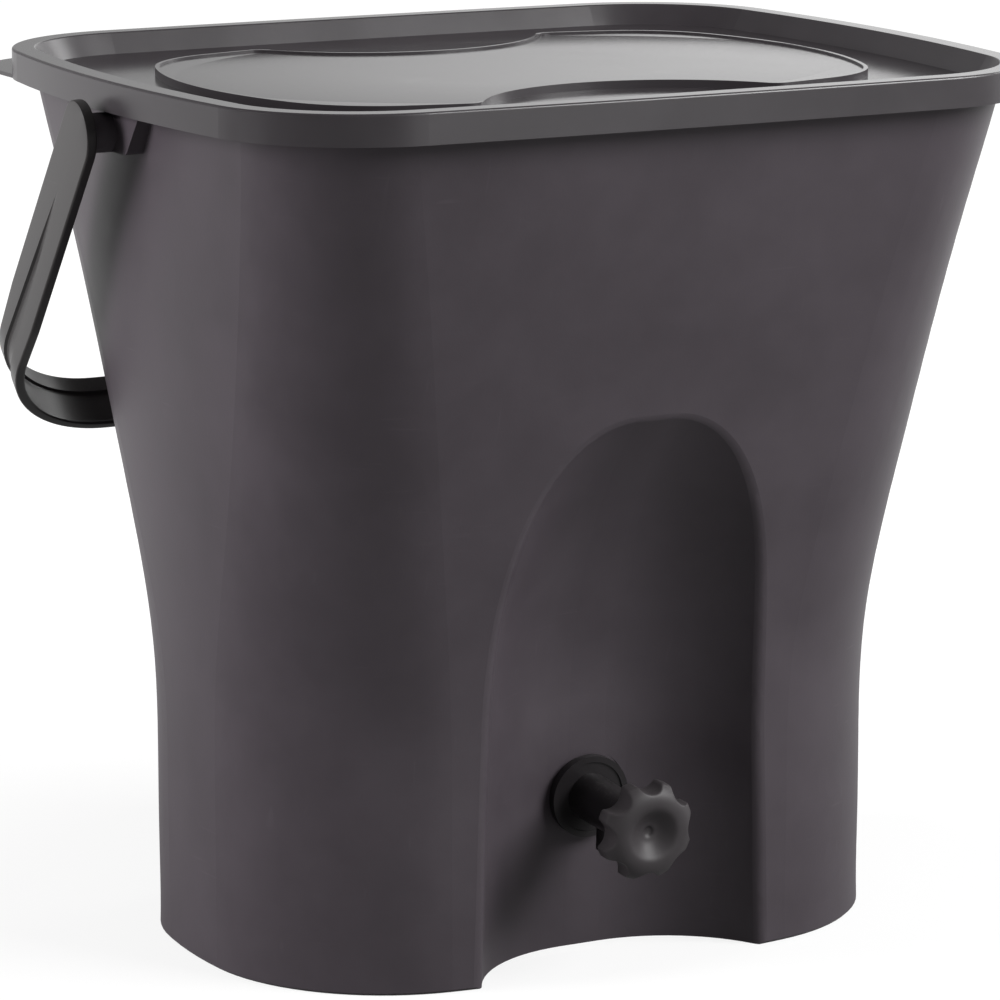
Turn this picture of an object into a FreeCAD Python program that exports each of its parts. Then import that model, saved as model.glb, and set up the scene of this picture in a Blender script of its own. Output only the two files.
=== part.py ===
import FreeCAD, Part
import math
import os
from types import SimpleNamespace

import Sketcher
from FreeCAD import Placement, Rotation, Vector

# Kitchen composter: a flared bin with a drain tap in a front niche, a lid, a carrying bail and a drain grate.
# Millimetres, X along the long side, front at -Y, Z up, origin on the ground under the middle of the bin.

SIZES = {
    # Lid plan and height
    "height": 320.0,
    "lid_length": 324.0,
    "lid_depth": 275.0,
    "lid_side_radius": 3400.0,
    "lid_end_radius": 640.0,
    "lid_corner_radius": 56.0,
    "skirt_height": 11.0,
    "skirt_wall": 2.4,
    "lid_wall": 2.0,
    "ring_width": 8.4,
    "well_depth": 7.6,
    "well_run": 4.6,
    "lid_edge_radius": 0.9,
    # Raised panel of the lid with its two finger recesses
    "panel_length": 251.0,
    "panel_depth": 190.0,
    "panel_side_radius": 330.0,
    "panel_end_radius": 160.0,
    "panel_corner_radius": 45.0,
    "panel_rise": 2.2,
    "bead_width": 1.6,
    "bead_rise": 0.7,
    "recess_middle": 55.5,
    "recess_radius": 66.7,
    "recess_corner": 7.0,
    # Lifting tab at the back left corner of the lid
    "tab_thickness": 1.5,
    "tab_setback": 8.5,
    "tab_overhang": 8.5,
    "tab_radius": 30.0,
    "tab_root": 60.0,
    # Seal in the groove of the lid
    "seal_thickness": 2.0,
    "seal_gap": 0.3,
    # Bin wall
    "wall": 2.6,
    "overhang": 8.6,
    "base_length": 262.0,
    "base_depth": 179.0,
    "base_side_radius": 497.0,
    "base_end_radius": 207.0,
    "base_corner_radius": 72.0,
    "bend_start": 78.0,
    "bend_end": 144.5,
    "foot_chamfer": 1.0,
    "rim_clearance": 0.5,
    "rim_lip_height": 2.3,
    "floor_top": 42.0,
    "floor_thickness": 3.0,
    "rib_thickness": 2.0,
    # Niche for a cup under the tap
    "niche_width": 123.0,
    "niche_corner": 54.0,
    "niche_lean": 3.5,
    "niche_bend_height": 95.0,
    "niche_bend_radius": 170.0,
    "niche_reach": 100.0,
    "niche_sweep": 60.0,
    "niche_edge_radius": 4.5,
    # Ears of the bail
    "pivot_drop": 8.0,
    "ear_top_width": 52.0,
    "ear_foot_width": 30.0,
    "ear_height": 14.0,
    "ear_setback": 4.0,
    "ear_radius": 4.0,
    "boss_diameter": 14.0,
    "pivot_bore": 9.8,
    "pivot_bore_depth": 10.4,
    # Bail
    "bail_gap": 0.5,
    "bail_clearance": 4.7,
    "bail_headroom": 26.0,
    "bail_lean": 3.9,
    "bail_corner": 44.0,
    "bail_thickness": 3.6,
    "bail_arm_width": 24.0,
    "bail_grip_width": 21.6,
    "bail_taper_start": 100.0,
    "bail_hang": 135.8,
    "stud_diameter": 9.6,
    "stud_end_gap": 0.4,
    "channel_depth": 1.2,
    "channel_start": 45.0,
    "channel_start_width": 0.8,
    "channel_width": 8.0,
    "grip_channel_width": 13.6,
    "grip_channel_offset": 2.8,
    # Drain grate
    "grate_top": 80.0,
    "grate_thickness": 2.4,
    "grate_clearance": 1.5,
    "grate_slot_length": 26.0,
    "grate_slot_width": 4.0,
    "grate_pitch_along": 36.0,
    "grate_pitch_across": 14.0,
    "grate_first_row": 34.0,
    "leg_diameter": 11.0,
    "leg_along": 88.0,
    "leg_across": 30.0,
    # Tap, measured along its axis from the outside of the niche wall
    "tap_height": 57.5,
    "tap_wall": 57.0,
    "tap_bore": 18.4,
    "tap_tail_diameter": 18.0,
    "tap_tail_length": 16.0,
    "flange_diameter": 30.4,
    "flange_thickness": 2.5,
    "flange_rim": 2.2,
    "flange_rim_rise": 0.6,
    "washer_thickness": 1.5,
    "washer_diameter": 29.0,
    "seat_rise": 0.8,
    "barrel_diameter": 17.4,
    "barrel_tip_diameter": 16.0,
    "barrel_end": 39.5,
    "inlet_diameter": 8.0,
    "seat_position": 14.0,
    "chamber_diameter": 11.4,
    "spout_position": 19.0,
    "spout_diameter": 9.4,
    "spout_bore": 6.0,
    "spout_drop": 15.0,
    "nut_width": 26.0,
    "nut_thickness": 7.0,
    "nut_fit": 0.1,
    # Valve and knob
    "plug_diameter": 10.4,
    "plug_thickness": 3.0,
    "plug_seat_gap": 0.1,
    "plug_pin_diameter": 4.0,
    "plug_pin_length": 1.8,
    "pin_fit": 0.1,
    "spindle_fit": 0.05,
    "stem_diameter": 7.0,
    "collar_start": 23.5,
    "ring_groove_start": 26.0,
    "ring_section": 1.6,
    "ring_groove_play": 0.2,
    "knob_gap": 1.0,
    "knob_diameter": 36.2,
    "knob_depth": 10.5,
    "knob_scallop_radius": 5.6,
    "knob_scallop_centre": 21.4,
    "knob_scallops": 8.0,
    "knob_edge_slope": 2.4,
    "knob_face_ring": 9.2,
    "knob_dish_radius": 6.8,
    "knob_dish_depth": 2.2,
    "knob_hole_radius": 1.8,
    "knob_hole_depth": 2.6,
    "knob_hub_diameter": 14.0,
    "knob_recess_depth": 4.5,
    "knob_shell": 3.0,
    "socket_depth": 4.0,
    "cut_margin": 1.0,
}

NODES = (
    "bin_body",
    "lid",
    "lid_seal",
    "carry_handle",
    "drain_grate",
    "tap_body",
    "tap_outer_washer",
    "tap_inner_washer",
    "tap_lock_nut",
    "tap_valve_plug",
    "tap_spindle",
    "tap_spindle_ring",
    "tap_knob",
)


class Size:
    """A number together with the sheet expression that gives it."""

    def __init__(self, value, text):
        self.value = float(value)
        self.text = text

    def __add__(self, other):
        other = as_size(other)
        return Size(self.value + other.value, f"({self.text} + {other.text})")

    def __sub__(self, other):
        other = as_size(other)
        return Size(self.value - other.value, f"({self.text} - {other.text})")

    def __mul__(self, other):
        other = as_size(other)
        return Size(self.value * other.value, f"({self.text} * {other.text})")

    def __truediv__(self, other):
        other = as_size(other)
        return Size(self.value / other.value, f"({self.text} / {other.text})")

    def __neg__(self):
        return Size(-self.value, f"(0 - {self.text})")

    def __rsub__(self, other):
        return as_size(other) - self

    def __rtruediv__(self, other):
        return as_size(other) / self


def as_size(number):
    return number if isinstance(number, Size) else Size(number, str(float(number)))


def sine(angle):
    return Size(math.sin(math.radians(angle.value)), f"sin({angle.text})")


def cosine(angle):
    return Size(math.cos(math.radians(angle.value)), f"cos({angle.text})")


def root(size):
    return Size(math.sqrt(size.value), f"sqrt({size.text})")


doc = FreeCAD.newDocument("kitchen_composter")
sheet = doc.addObject("Spreadsheet::Sheet", "Sizes")
for row, (name, value) in enumerate(SIZES.items(), start=1):
    sheet.set(f"A{row}", name)
    sheet.set(f"B{row}", str(value))
    sheet.setAlias(f"B{row}", name)
doc.recompute()
size = SimpleNamespace(**{name: Size(value, f"Sizes.{name}") for name, value in SIZES.items()})


# Sketch and feature helpers


def new_body(name):
    body = doc.addObject("PartDesign::Body", name)
    body.Label = name
    return body


def origin_plane(body, role):
    return next(feature for feature in body.Origin.OriginFeatures if feature.Role == role)


def new_sketch(body, name, role="XY_Plane", rise=0, across=0, out=0, lean=0):
    """A sketch on a plane of the body, moved by across, rise and out along its own axes and leaned about X."""
    sketch = body.newObject("Sketcher::SketchObject", name)
    sketch.AttachmentSupport = [(origin_plane(body, role), "")]
    sketch.MapMode = "FlatFace"
    across, rise, out, lean = (as_size(number) for number in (across, rise, out, lean))
    move = Vector(across.value, rise.value, out.value)
    sketch.AttachmentOffset = Placement(move, Rotation(Vector(1, 0, 0), lean.value))
    for axis, amount in (("x", across), ("y", rise), ("z", out)):
        sketch.setExpression(f"AttachmentOffset.Base.{axis}", amount.text)
    if lean.value:
        sketch.setExpression("AttachmentOffset.Rotation.Angle", lean.text)
    return sketch


def constrain(sketch, kind, *where, by):
    index = sketch.addConstraint(Sketcher.Constraint(kind, *where, by.value))
    sketch.setExpression(f"Constraints[{index}]", by.text)


def pin_point(sketch, geometry, point, x, y):
    """Places a point of the sketch by its two distances from the sketch origin."""
    for kind, axis, amount in (("DistanceX", -2, x), ("DistanceY", -1, y)):
        if isinstance(amount, Size):
            constrain(sketch, kind, -1, 1, geometry, point, by=amount)
        else:
            sketch.addConstraint(Sketcher.Constraint("PointOnObject", geometry, point, axis))


def circle(sketch, diameter, x=0, y=0):
    centre = Vector(as_size(x).value, as_size(y).value, 0)
    index = sketch.addGeometry(Part.Circle(centre, Vector(0, 0, 1), diameter.value / 2))
    constrain(sketch, "Diameter", index, by=diameter)
    pin_point(sketch, index, 3, x, y)


def arc_about(middle, radius, start, end, turn):
    """An arc from start to end, turning left (1) or right (-1), with the numbers of its start and end points."""
    first, last = (start, end) if turn > 0 else (end, start)
    angles = [math.atan2(point.y - middle.y, point.x - middle.x) for point in (first, last)]
    arc = Part.ArcOfCircle(Part.Circle(middle, Vector(0, 0, 1), radius), *angles)
    return (arc, 1, 2) if turn > 0 else (arc, 2, 1)


def arc_between(start, end, radius, turn):
    chord = end - start
    height = math.sqrt(radius ** 2 - chord.Length ** 2 / 4)
    side = Vector(-chord.y, chord.x, 0) / chord.Length
    return arc_about((start + end) / 2 + side * height * turn, radius, start, end, turn)


def draw(sketch, *corners):
    """A closed outline through corners (x, y). The way to the next corner is a straight line, an arc after
    (x, y, radius, turn), or a half circle on an upright or level chord after (x, y, turn)."""
    points = [Vector(as_size(corner[0]).value, as_size(corner[1]).value, 0) for corner in corners]
    made = []
    for here, corner in enumerate(corners):
        near, far = points[here], points[(here + 1) % len(corners)]
        if len(corner) == 4:
            geometry, start, end = arc_between(near, far, corner[2].value, corner[3])
        elif len(corner) == 3:
            geometry, start, end = arc_about((near + far) / 2, (far - near).Length / 2, near, far, corner[2])
        else:
            geometry, start, end = Part.LineSegment(near, far), 1, 2
        made.append((sketch.addGeometry(geometry), start, end))
    for here, corner in enumerate(corners):
        index, start, end = made[here]
        following, following_start, unused = made[(here + 1) % len(made)]
        sketch.addConstraint(Sketcher.Constraint("Coincident", index, end, following, following_start))
        pin_point(sketch, index, start, corner[0], corner[1])
        if len(corner) == 4:
            constrain(sketch, "Radius", index, by=corner[2])
        if len(corner) == 3:
            chord = points[(here + 1) % len(corners)] - points[here]
            kind = "Vertical" if abs(chord.y) > abs(chord.x) else "Horizontal"
            sketch.addConstraint(Sketcher.Constraint(kind, index, 3, index, start))


def rectangle(sketch, left, bottom, right, top):
    draw(sketch, (left, bottom), (right, bottom), (right, top), (left, top))


def tangent_point(one, other):
    """Where two arcs of a smooth loop meet, inside one another when they turn the same way."""
    offset = other.middle - one.middle
    if one.turn != other.turn:
        return one.middle + offset / offset.Length * one.radius.value
    big, small = (one, other) if one.radius.value > other.radius.value else (other, one)
    offset = small.middle - big.middle
    return big.middle + offset / offset.Length * big.radius.value


def smooth_loop(sketch, arcs):
    """A closed chain of arcs, each tangent to the next. Arcs with a fixed centre give its place as sizes."""
    made = []
    for here, arc in enumerate(arcs):
        start = tangent_point(arcs[here - 1], arc)
        end = tangent_point(arc, arcs[(here + 1) % len(arcs)])
        geometry, first, last = arc_about(arc.middle, arc.radius.value, start, end, arc.turn)
        made.append((sketch.addGeometry(geometry), first, last))
    for here, arc in enumerate(arcs):
        index, unused, last = made[here]
        following, first, unused = made[(here + 1) % len(made)]
        sketch.addConstraint(Sketcher.Constraint("Tangent", index, last, following, first))
        constrain(sketch, "Radius", index, by=arc.radius)
        if arc.centre:
            pin_point(sketch, index, 3, *arc.centre)


def loop_arc(radius, x, y, turn=1, fixed=True):
    middle = Vector(as_size(x).value, as_size(y).value, 0)
    return SimpleNamespace(radius=radius, middle=middle, turn=turn, centre=(x, y) if fixed else None)


def meeting(first, first_reach, second, second_reach):
    """The point at the given reaches from two centres, on the right of the way from the first to the second."""
    way = second - first
    along = (first_reach ** 2 - second_reach ** 2 + way.Length ** 2) / (2 * way.Length)
    aside = math.sqrt(first_reach ** 2 - along ** 2)
    unit = way / way.Length
    return first + unit * along + Vector(unit.y, -unit.x, 0) * aside


def plan(length, depth, side, end, corner):
    return SimpleNamespace(half=length / 2, deep=depth / 2, side=side, end=end, corner=corner)


def inset(shape, distance):
    return SimpleNamespace(**{name: amount - distance for name, amount in vars(shape).items()})


def blend(low, high, share):
    """The plan between two plans. Side and end arcs blend by their curvature."""
    mixed = {name: amount + (vars(high)[name] - amount) * share for name, amount in vars(low).items()}
    for name in ("side", "end"):
        flat = 1 / vars(low)[name]
        mixed[name] = 1 / (flat + (1 / vars(high)[name] - flat) * share)
    return SimpleNamespace(**mixed)


def corner_middle(shape):
    """Centre of the corner arc at the back right, tangent to the long side and to the end."""
    side_middle = Vector(0, shape.deep.value - shape.side.value, 0)
    end_middle = Vector(shape.half.value - shape.end.value, 0, 0)
    side_reach = shape.side.value - shape.corner.value
    end_reach = shape.end.value - shape.corner.value
    return meeting(side_middle, side_reach, end_middle, end_reach)


def plan_outline(sketch, shape):
    """Eight tangent arcs: two ends, two long sides and four corners."""
    middle = corner_middle(shape)
    across, along = shape.deep - shape.side, shape.half - shape.end
    corners = [loop_arc(shape.corner, middle.x * right, middle.y * back, fixed=False)
               for right, back in ((1, 1), (-1, 1), (-1, -1), (1, -1))]
    smooth_loop(sketch, [
        loop_arc(shape.end, along, 0), corners[0],
        loop_arc(shape.side, 0, across), corners[1],
        loop_arc(shape.end, -along, 0), corners[2],
        loop_arc(shape.side, 0, -across), corners[3],
    ])


def panel_outline(sketch, shape, shrink):
    """The plan with a finger recess bitten out of the middle of each long side."""
    corner = corner_middle(shape)
    across, along = shape.deep - shape.side, shape.half - shape.end
    bite = size.recess_radius + shrink
    round_off = size.recess_corner - shrink
    bite_centre = size.recess_middle + size.recess_radius
    lip = meeting(Vector(0, bite_centre.value, 0), bite.value + round_off.value,
                  Vector(0, across.value, 0), shape.side.value - round_off.value)
    lip.x = abs(lip.x)

    def quarter(right, back):
        return [
            loop_arc(shape.corner, corner.x * right, corner.y * back, fixed=False),
            loop_arc(shape.side, 0, across if back > 0 else -across),
            loop_arc(round_off, lip.x * right, lip.y * back, fixed=False),
        ]

    smooth_loop(sketch, [
        loop_arc(shape.end, along, 0), *quarter(1, 1),
        loop_arc(bite, 0, bite_centre, turn=-1), *reversed(quarter(-1, 1)),
        loop_arc(shape.end, -along, 0), *quarter(-1, -1),
        loop_arc(bite, 0, -bite_centre, turn=-1), *reversed(quarter(1, -1)),
    ])


def add(body, kind, name, profile, **values):
    """A sketch based feature. Sizes are bound to the sheet, other values are set as they are."""
    feature = body.newObject(f"PartDesign::{kind}", name)
    feature.Profile = profile
    for key, amount in values.items():
        if isinstance(amount, Size):
            feature.setExpression(key, amount.text)
        else:
            setattr(feature, key, amount)
    return feature


def loft(body, kind, name, sketches, ruled=False):
    return add(body, kind, name, sketches[0], Sections=sketches[1:], Ruled=ruled)


def turned(body, name, *corners, kind="Revolution"):
    """A turned shape about the body's Z axis from an outline of (radius, height) corners."""
    sketch = new_sketch(body, f"{name}_profile", "XZ_Plane")
    draw(sketch, *corners)
    return add(body, kind, name, sketch, ReferenceAxis=(sketch, ["V_Axis"]), Angle=360.0)


def mirrored(body, name, features):
    mirror = body.newObject("PartDesign::Mirrored", name)
    mirror.Originals = features
    mirror.MirrorPlane = (origin_plane(body, "YZ_Plane"), [""])
    body.Tip = mirror
    return mirror


def rounded(body, name, base, radius, wanted):
    """A fillet on the edges of the base feature that the test picks out."""
    doc.recompute()
    names = [f"Edge{number}" for number, edge in enumerate(base.Shape.Edges, start=1) if wanted(edge)]
    fillet = body.newObject("PartDesign::Fillet", name)
    fillet.Base = (base, names)
    fillet.setExpression("Radius", radius.text)
    return fillet


def level_edge(edge, level):
    box = edge.BoundBox
    return abs(box.ZMin - level.value) < 0.01 and abs(box.ZMax - level.value) < 0.01


def is_niche_edge(edge):
    """The edges where the niche breaks through the front of the wall."""
    box = edge.BoundBox
    front = -base_plan.deep.value + size.niche_corner.value / 2
    return box.ZMax > size.tap_height.value and box.YMax < front and abs(box.XMax) < niche_half.value + 1 \
        and box.ZLength > 10 and abs(box.XMin) < niche_half.value + 1


# Levels and plans shared by the bin, the lid and the seal

lid_plan = plan(size.lid_length, size.lid_depth, size.lid_side_radius, size.lid_end_radius, size.lid_corner_radius)
base_plan = plan(size.base_length, size.base_depth, size.base_side_radius, size.base_end_radius,
                 size.base_corner_radius)
wall_top_plan = inset(lid_plan, size.overhang)
lid_bottom = size.height - size.skirt_height
ring_under = size.height - size.lid_wall
rim_top = ring_under - size.seal_thickness - size.seal_gap
rim_start = lid_bottom + size.rim_clearance
well_floor = size.height - size.well_depth
well_under = well_floor - size.lid_wall
well_slope = size.well_run / size.well_depth
well_skin = size.lid_wall * root(well_slope * well_slope + 1)
groove_outer = size.skirt_wall
groove_inner = size.ring_width - well_skin + well_slope * size.lid_wall
rim_lip_inset = size.skirt_wall + size.rim_clearance
niche_half = size.niche_width / 2
pivot_level = lid_bottom - size.pivot_drop
bail_side = lid_plan.half + size.bail_clearance
bail_reach = lid_plan.deep + size.bail_headroom
bail_eye = size.bail_arm_width / 2
lean_slope = sine(size.niche_lean) / cosine(size.niche_lean)
niche_bend_back = size.tap_wall + (size.niche_bend_height - size.tap_height) * lean_slope


def wall_sections(inset_by, start):
    """Plan and height of the wall's sections: upright, then a bend, then a straight flare to the rim."""
    bend = size.bend_end - size.bend_start
    straight = rim_start - size.bend_end
    whole = bend / 2 + straight
    upright = [(as_size(0), start), (as_size(0), size.bend_start / 2), (as_size(0), size.bend_start)]
    bent = [(bend / 2 * (part * part) / whole, size.bend_start + bend * part) for part in (1 / 3, 2 / 3, 1)]
    flared = [((bend / 2 + straight * part) / whole, size.bend_end + straight * part) for part in (1 / 3, 2 / 3, 1)]
    return [(inset(blend(base_plan, wall_top_plan, share), inset_by), level)
            for share, level in upright + bent + flared]


def wall_loft(body, inset_by, start):
    sketches = []
    for number, (shape, level) in enumerate(wall_sections(inset_by, start), start=1):
        sketch = new_sketch(body, f"{body.Name}_section_{number}", out=level)
        plan_outline(sketch, shape)
        sketches.append(sketch)
    return loft(body, "AdditiveLoft", f"{body.Name}_wall", sketches)


def plan_loft(body, kind, name, *levels):
    """A straight loft between plans, given as (plan, level) pairs."""
    sketches = []
    for number, (shape, level) in enumerate(levels, start=1):
        sketch = new_sketch(body, f"{name}_{number}", out=level)
        plan_outline(sketch, shape)
        sketches.append(sketch)
    return loft(body, kind, name, sketches, ruled=True)


def plan_pad(body, kind, name, shape, level, length, **values):
    sketch = new_sketch(body, f"{name}_outline", out=level)
    plan_outline(sketch, shape)
    return add(body, kind, name, sketch, Length=length, **values)


def cut_niche(body, grow):
    """The niche: an upright trough that curves forward to an arch, grown by a wall for the inside."""
    sketch = new_sketch(body, f"{body.Name}_niche_plan", rise=-niche_bend_back, out=size.niche_bend_height,
                        lean=size.niche_lean)
    half, corner = niche_half + grow, size.niche_corner + grow
    flat = niche_half - size.niche_corner
    front, shoulder = -size.niche_reach, grow - corner
    draw(sketch, (half, front), (half, shoulder, corner, 1), (flat, as_size(grow)), (-flat, as_size(grow), corner, 1),
         (-half, shoulder), (-half, front))
    axis = sketch.addGeometry(Part.LineSegment(Vector(-half.value, -size.niche_bend_radius.value, 0),
                                               Vector(half.value, -size.niche_bend_radius.value, 0)), True)
    pin_point(sketch, axis, 1, -half, -size.niche_bend_radius)
    pin_point(sketch, axis, 2, half, -size.niche_bend_radius)
    add(body, "Pocket", f"{body.Name}_niche", sketch, Length=size.niche_bend_height * 2)
    return add(body, "Groove", f"{body.Name}_arch", sketch, ReferenceAxis=(sketch, ["Axis0"]),
               Angle=size.niche_sweep, Reversed=False)


def tap_circle(body, name, diameter, **values):
    """A round pocket along the axis of the tap, from the outside of the niche wall."""
    sketch = new_sketch(body, f"{name}_outline", "XZ_Plane", rise=size.tap_height, out=size.tap_wall,
                        lean=size.niche_lean)
    circle(sketch, diameter)
    return add(body, "Pocket", name, sketch, **values)


def ear_features(body):
    """Ear, pivot boss and blind bore on the right, mirrored to the left."""
    root_at = lid_plan.half - size.overhang - size.wall * 2
    top = lid_bottom - size.rim_clearance
    foot = top - size.ear_height
    sketch = new_sketch(body, "ear_outline", "YZ_Plane", out=root_at)
    draw(sketch, (-size.ear_foot_width / 2, foot), (size.ear_foot_width / 2, foot), (size.ear_top_width / 2, top),
         (-size.ear_top_width / 2, top))
    ear = add(body, "Pad", "ear", sketch, Length=lid_plan.half - size.ear_setback - root_at)
    boss_end = bail_side - size.bail_gap
    sketch = new_sketch(body, "boss_outline", "YZ_Plane", out=root_at)
    circle(sketch, size.boss_diameter, 0, pivot_level)
    boss = add(body, "Pad", "boss", sketch, Length=boss_end - root_at)
    sketch = new_sketch(body, "pivot_bore_outline", "YZ_Plane", out=boss_end)
    circle(sketch, size.pivot_bore, 0, pivot_level)
    bore = add(body, "Pocket", "pivot_bore_cut", sketch, Length=size.pivot_bore_depth)
    ears = mirrored(body, "ears", [ear, boss, bore])
    rounded(body, "ear_rounding", ears, size.ear_radius, lambda edge: level_edge(edge, foot) and edge.Length < 20
            and abs(edge.BoundBox.YLength) < 0.01)


def make_bin():
    outside = new_body("bin_outside")
    wall_loft(outside, as_size(0), size.foot_chamfer)
    plan_loft(outside, "AdditiveLoft", "foot", (inset(base_plan, size.foot_chamfer), as_size(0)),
              (base_plan, size.foot_chamfer))
    rim_rise = (rim_top - rim_start) * well_slope
    plan_loft(outside, "AdditiveLoft", "rim", (wall_top_plan, rim_start), (inset(wall_top_plan, -rim_rise), rim_top))
    plan_pad(outside, "Pad", "rim_lip", inset(lid_plan, rim_lip_inset), rim_top - size.rim_lip_height,
             size.rim_lip_height)
    ear_features(outside)
    cut_niche(outside, as_size(0))
    tap_circle(outside, "tap_seat", size.flange_diameter + size.cut_margin * 2, Length=size.niche_corner,
               Reversed=True)
    tap_hole = tap_circle(outside, "tap_hole", size.tap_bore, Length=size.wall * 4)
    rounded(outside, "niche_rounding", tap_hole, size.niche_edge_radius, is_niche_edge)

    inside = new_body("bin_inside")
    wall_loft(inside, size.wall, -size.cut_margin)
    mouth = rim_top + size.cut_margin
    mouth_plan = inset(wall_top_plan, size.wall)
    plan_loft(inside, "AdditiveLoft", "mouth", (mouth_plan, rim_start),
              (inset(mouth_plan, (rim_start - mouth) * well_slope), mouth))
    cut_niche(inside, size.wall)
    tap_circle(inside, "tap_inner_seat", size.flange_diameter + size.cut_margin * 2,
               Length=size.wall + size.seat_rise)
    sketch = new_sketch(inside, "floor_outline", out=size.floor_top)
    rectangle(sketch, -lid_plan.half, -lid_plan.deep, lid_plan.half, lid_plan.deep)
    add(inside, "Pocket", "floor_slab", sketch, Length=size.floor_thickness)
    half_rib = size.rib_thickness / 2
    sketch = new_sketch(inside, "rib_outline", out=size.floor_top)
    rectangle(sketch, -half_rib, -lid_plan.deep, half_rib, lid_plan.deep)
    add(inside, "Pocket", "rib", sketch, Length=size.floor_top + size.cut_margin * 2)

    shell = doc.addObject("Part::Cut", "bin_body")
    shell.Label = "bin_body"
    shell.Base = outside
    shell.Tool = inside
    return shell


def make_lid():
    body = new_body("lid")
    plan_pad(body, "Pad", "lid_block", lid_plan, lid_bottom, size.skirt_height)
    sketch = new_sketch(body, "tab_outline", out=lid_bottom)
    left, back, bend = size.tab_setback - lid_plan.half, lid_plan.deep + size.tab_overhang, size.tab_radius
    right = left + size.tab_root
    draw(sketch, (left, size.tab_root), (right, size.tab_root), (right, back), (left + bend, back, bend, 1),
         (left, back - bend))
    add(body, "Pad", "tab", sketch, Length=size.tab_thickness)
    plan_pad(body, "Pocket", "lid_under", inset(lid_plan, groove_outer), lid_bottom, ring_under - lid_bottom,
             Reversed=True)
    bowl_foot = groove_inner + well_slope * (ring_under - well_under)
    plan_loft(body, "AdditiveLoft", "bowl", (inset(lid_plan, groove_inner), ring_under),
              (inset(lid_plan, bowl_foot), well_under))
    ring_plan = inset(lid_plan, size.ring_width)
    plan_loft(body, "SubtractiveLoft", "well", (ring_plan, size.height), (inset(ring_plan, size.well_run), well_floor))
    panel_plan = plan(size.panel_length, size.panel_depth, size.panel_side_radius, size.panel_end_radius,
                      size.panel_corner_radius)
    sketch = new_sketch(body, "panel_outline", out=well_floor)
    panel_outline(sketch, panel_plan, as_size(0))
    add(body, "Pad", "panel", sketch, Length=size.panel_rise)
    sketch = new_sketch(body, "panel_under_outline", out=well_under)
    panel_outline(sketch, inset(panel_plan, size.lid_wall), size.lid_wall)
    add(body, "Pocket", "panel_under", sketch, Length=size.panel_rise, Reversed=True)
    sketch = new_sketch(body, "bead_outline", out=well_floor + size.panel_rise)
    panel_outline(sketch, panel_plan, as_size(0))
    panel_outline(sketch, inset(panel_plan, size.bead_width), size.bead_width)
    bead = add(body, "Pad", "bead", sketch, Length=size.bead_rise)
    rounded(body, "lid_rounding", bead, size.lid_edge_radius, lambda edge: level_edge(edge, size.height))
    return body


def make_lid_seal():
    body = new_body("lid_seal")
    sketch = new_sketch(body, "seal_outline", out=ring_under)
    plan_outline(sketch, inset(lid_plan, groove_outer))
    plan_outline(sketch, inset(lid_plan, groove_inner))
    add(body, "Pad", "seal", sketch, Length=size.seal_thickness, Reversed=True)
    return body


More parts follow.
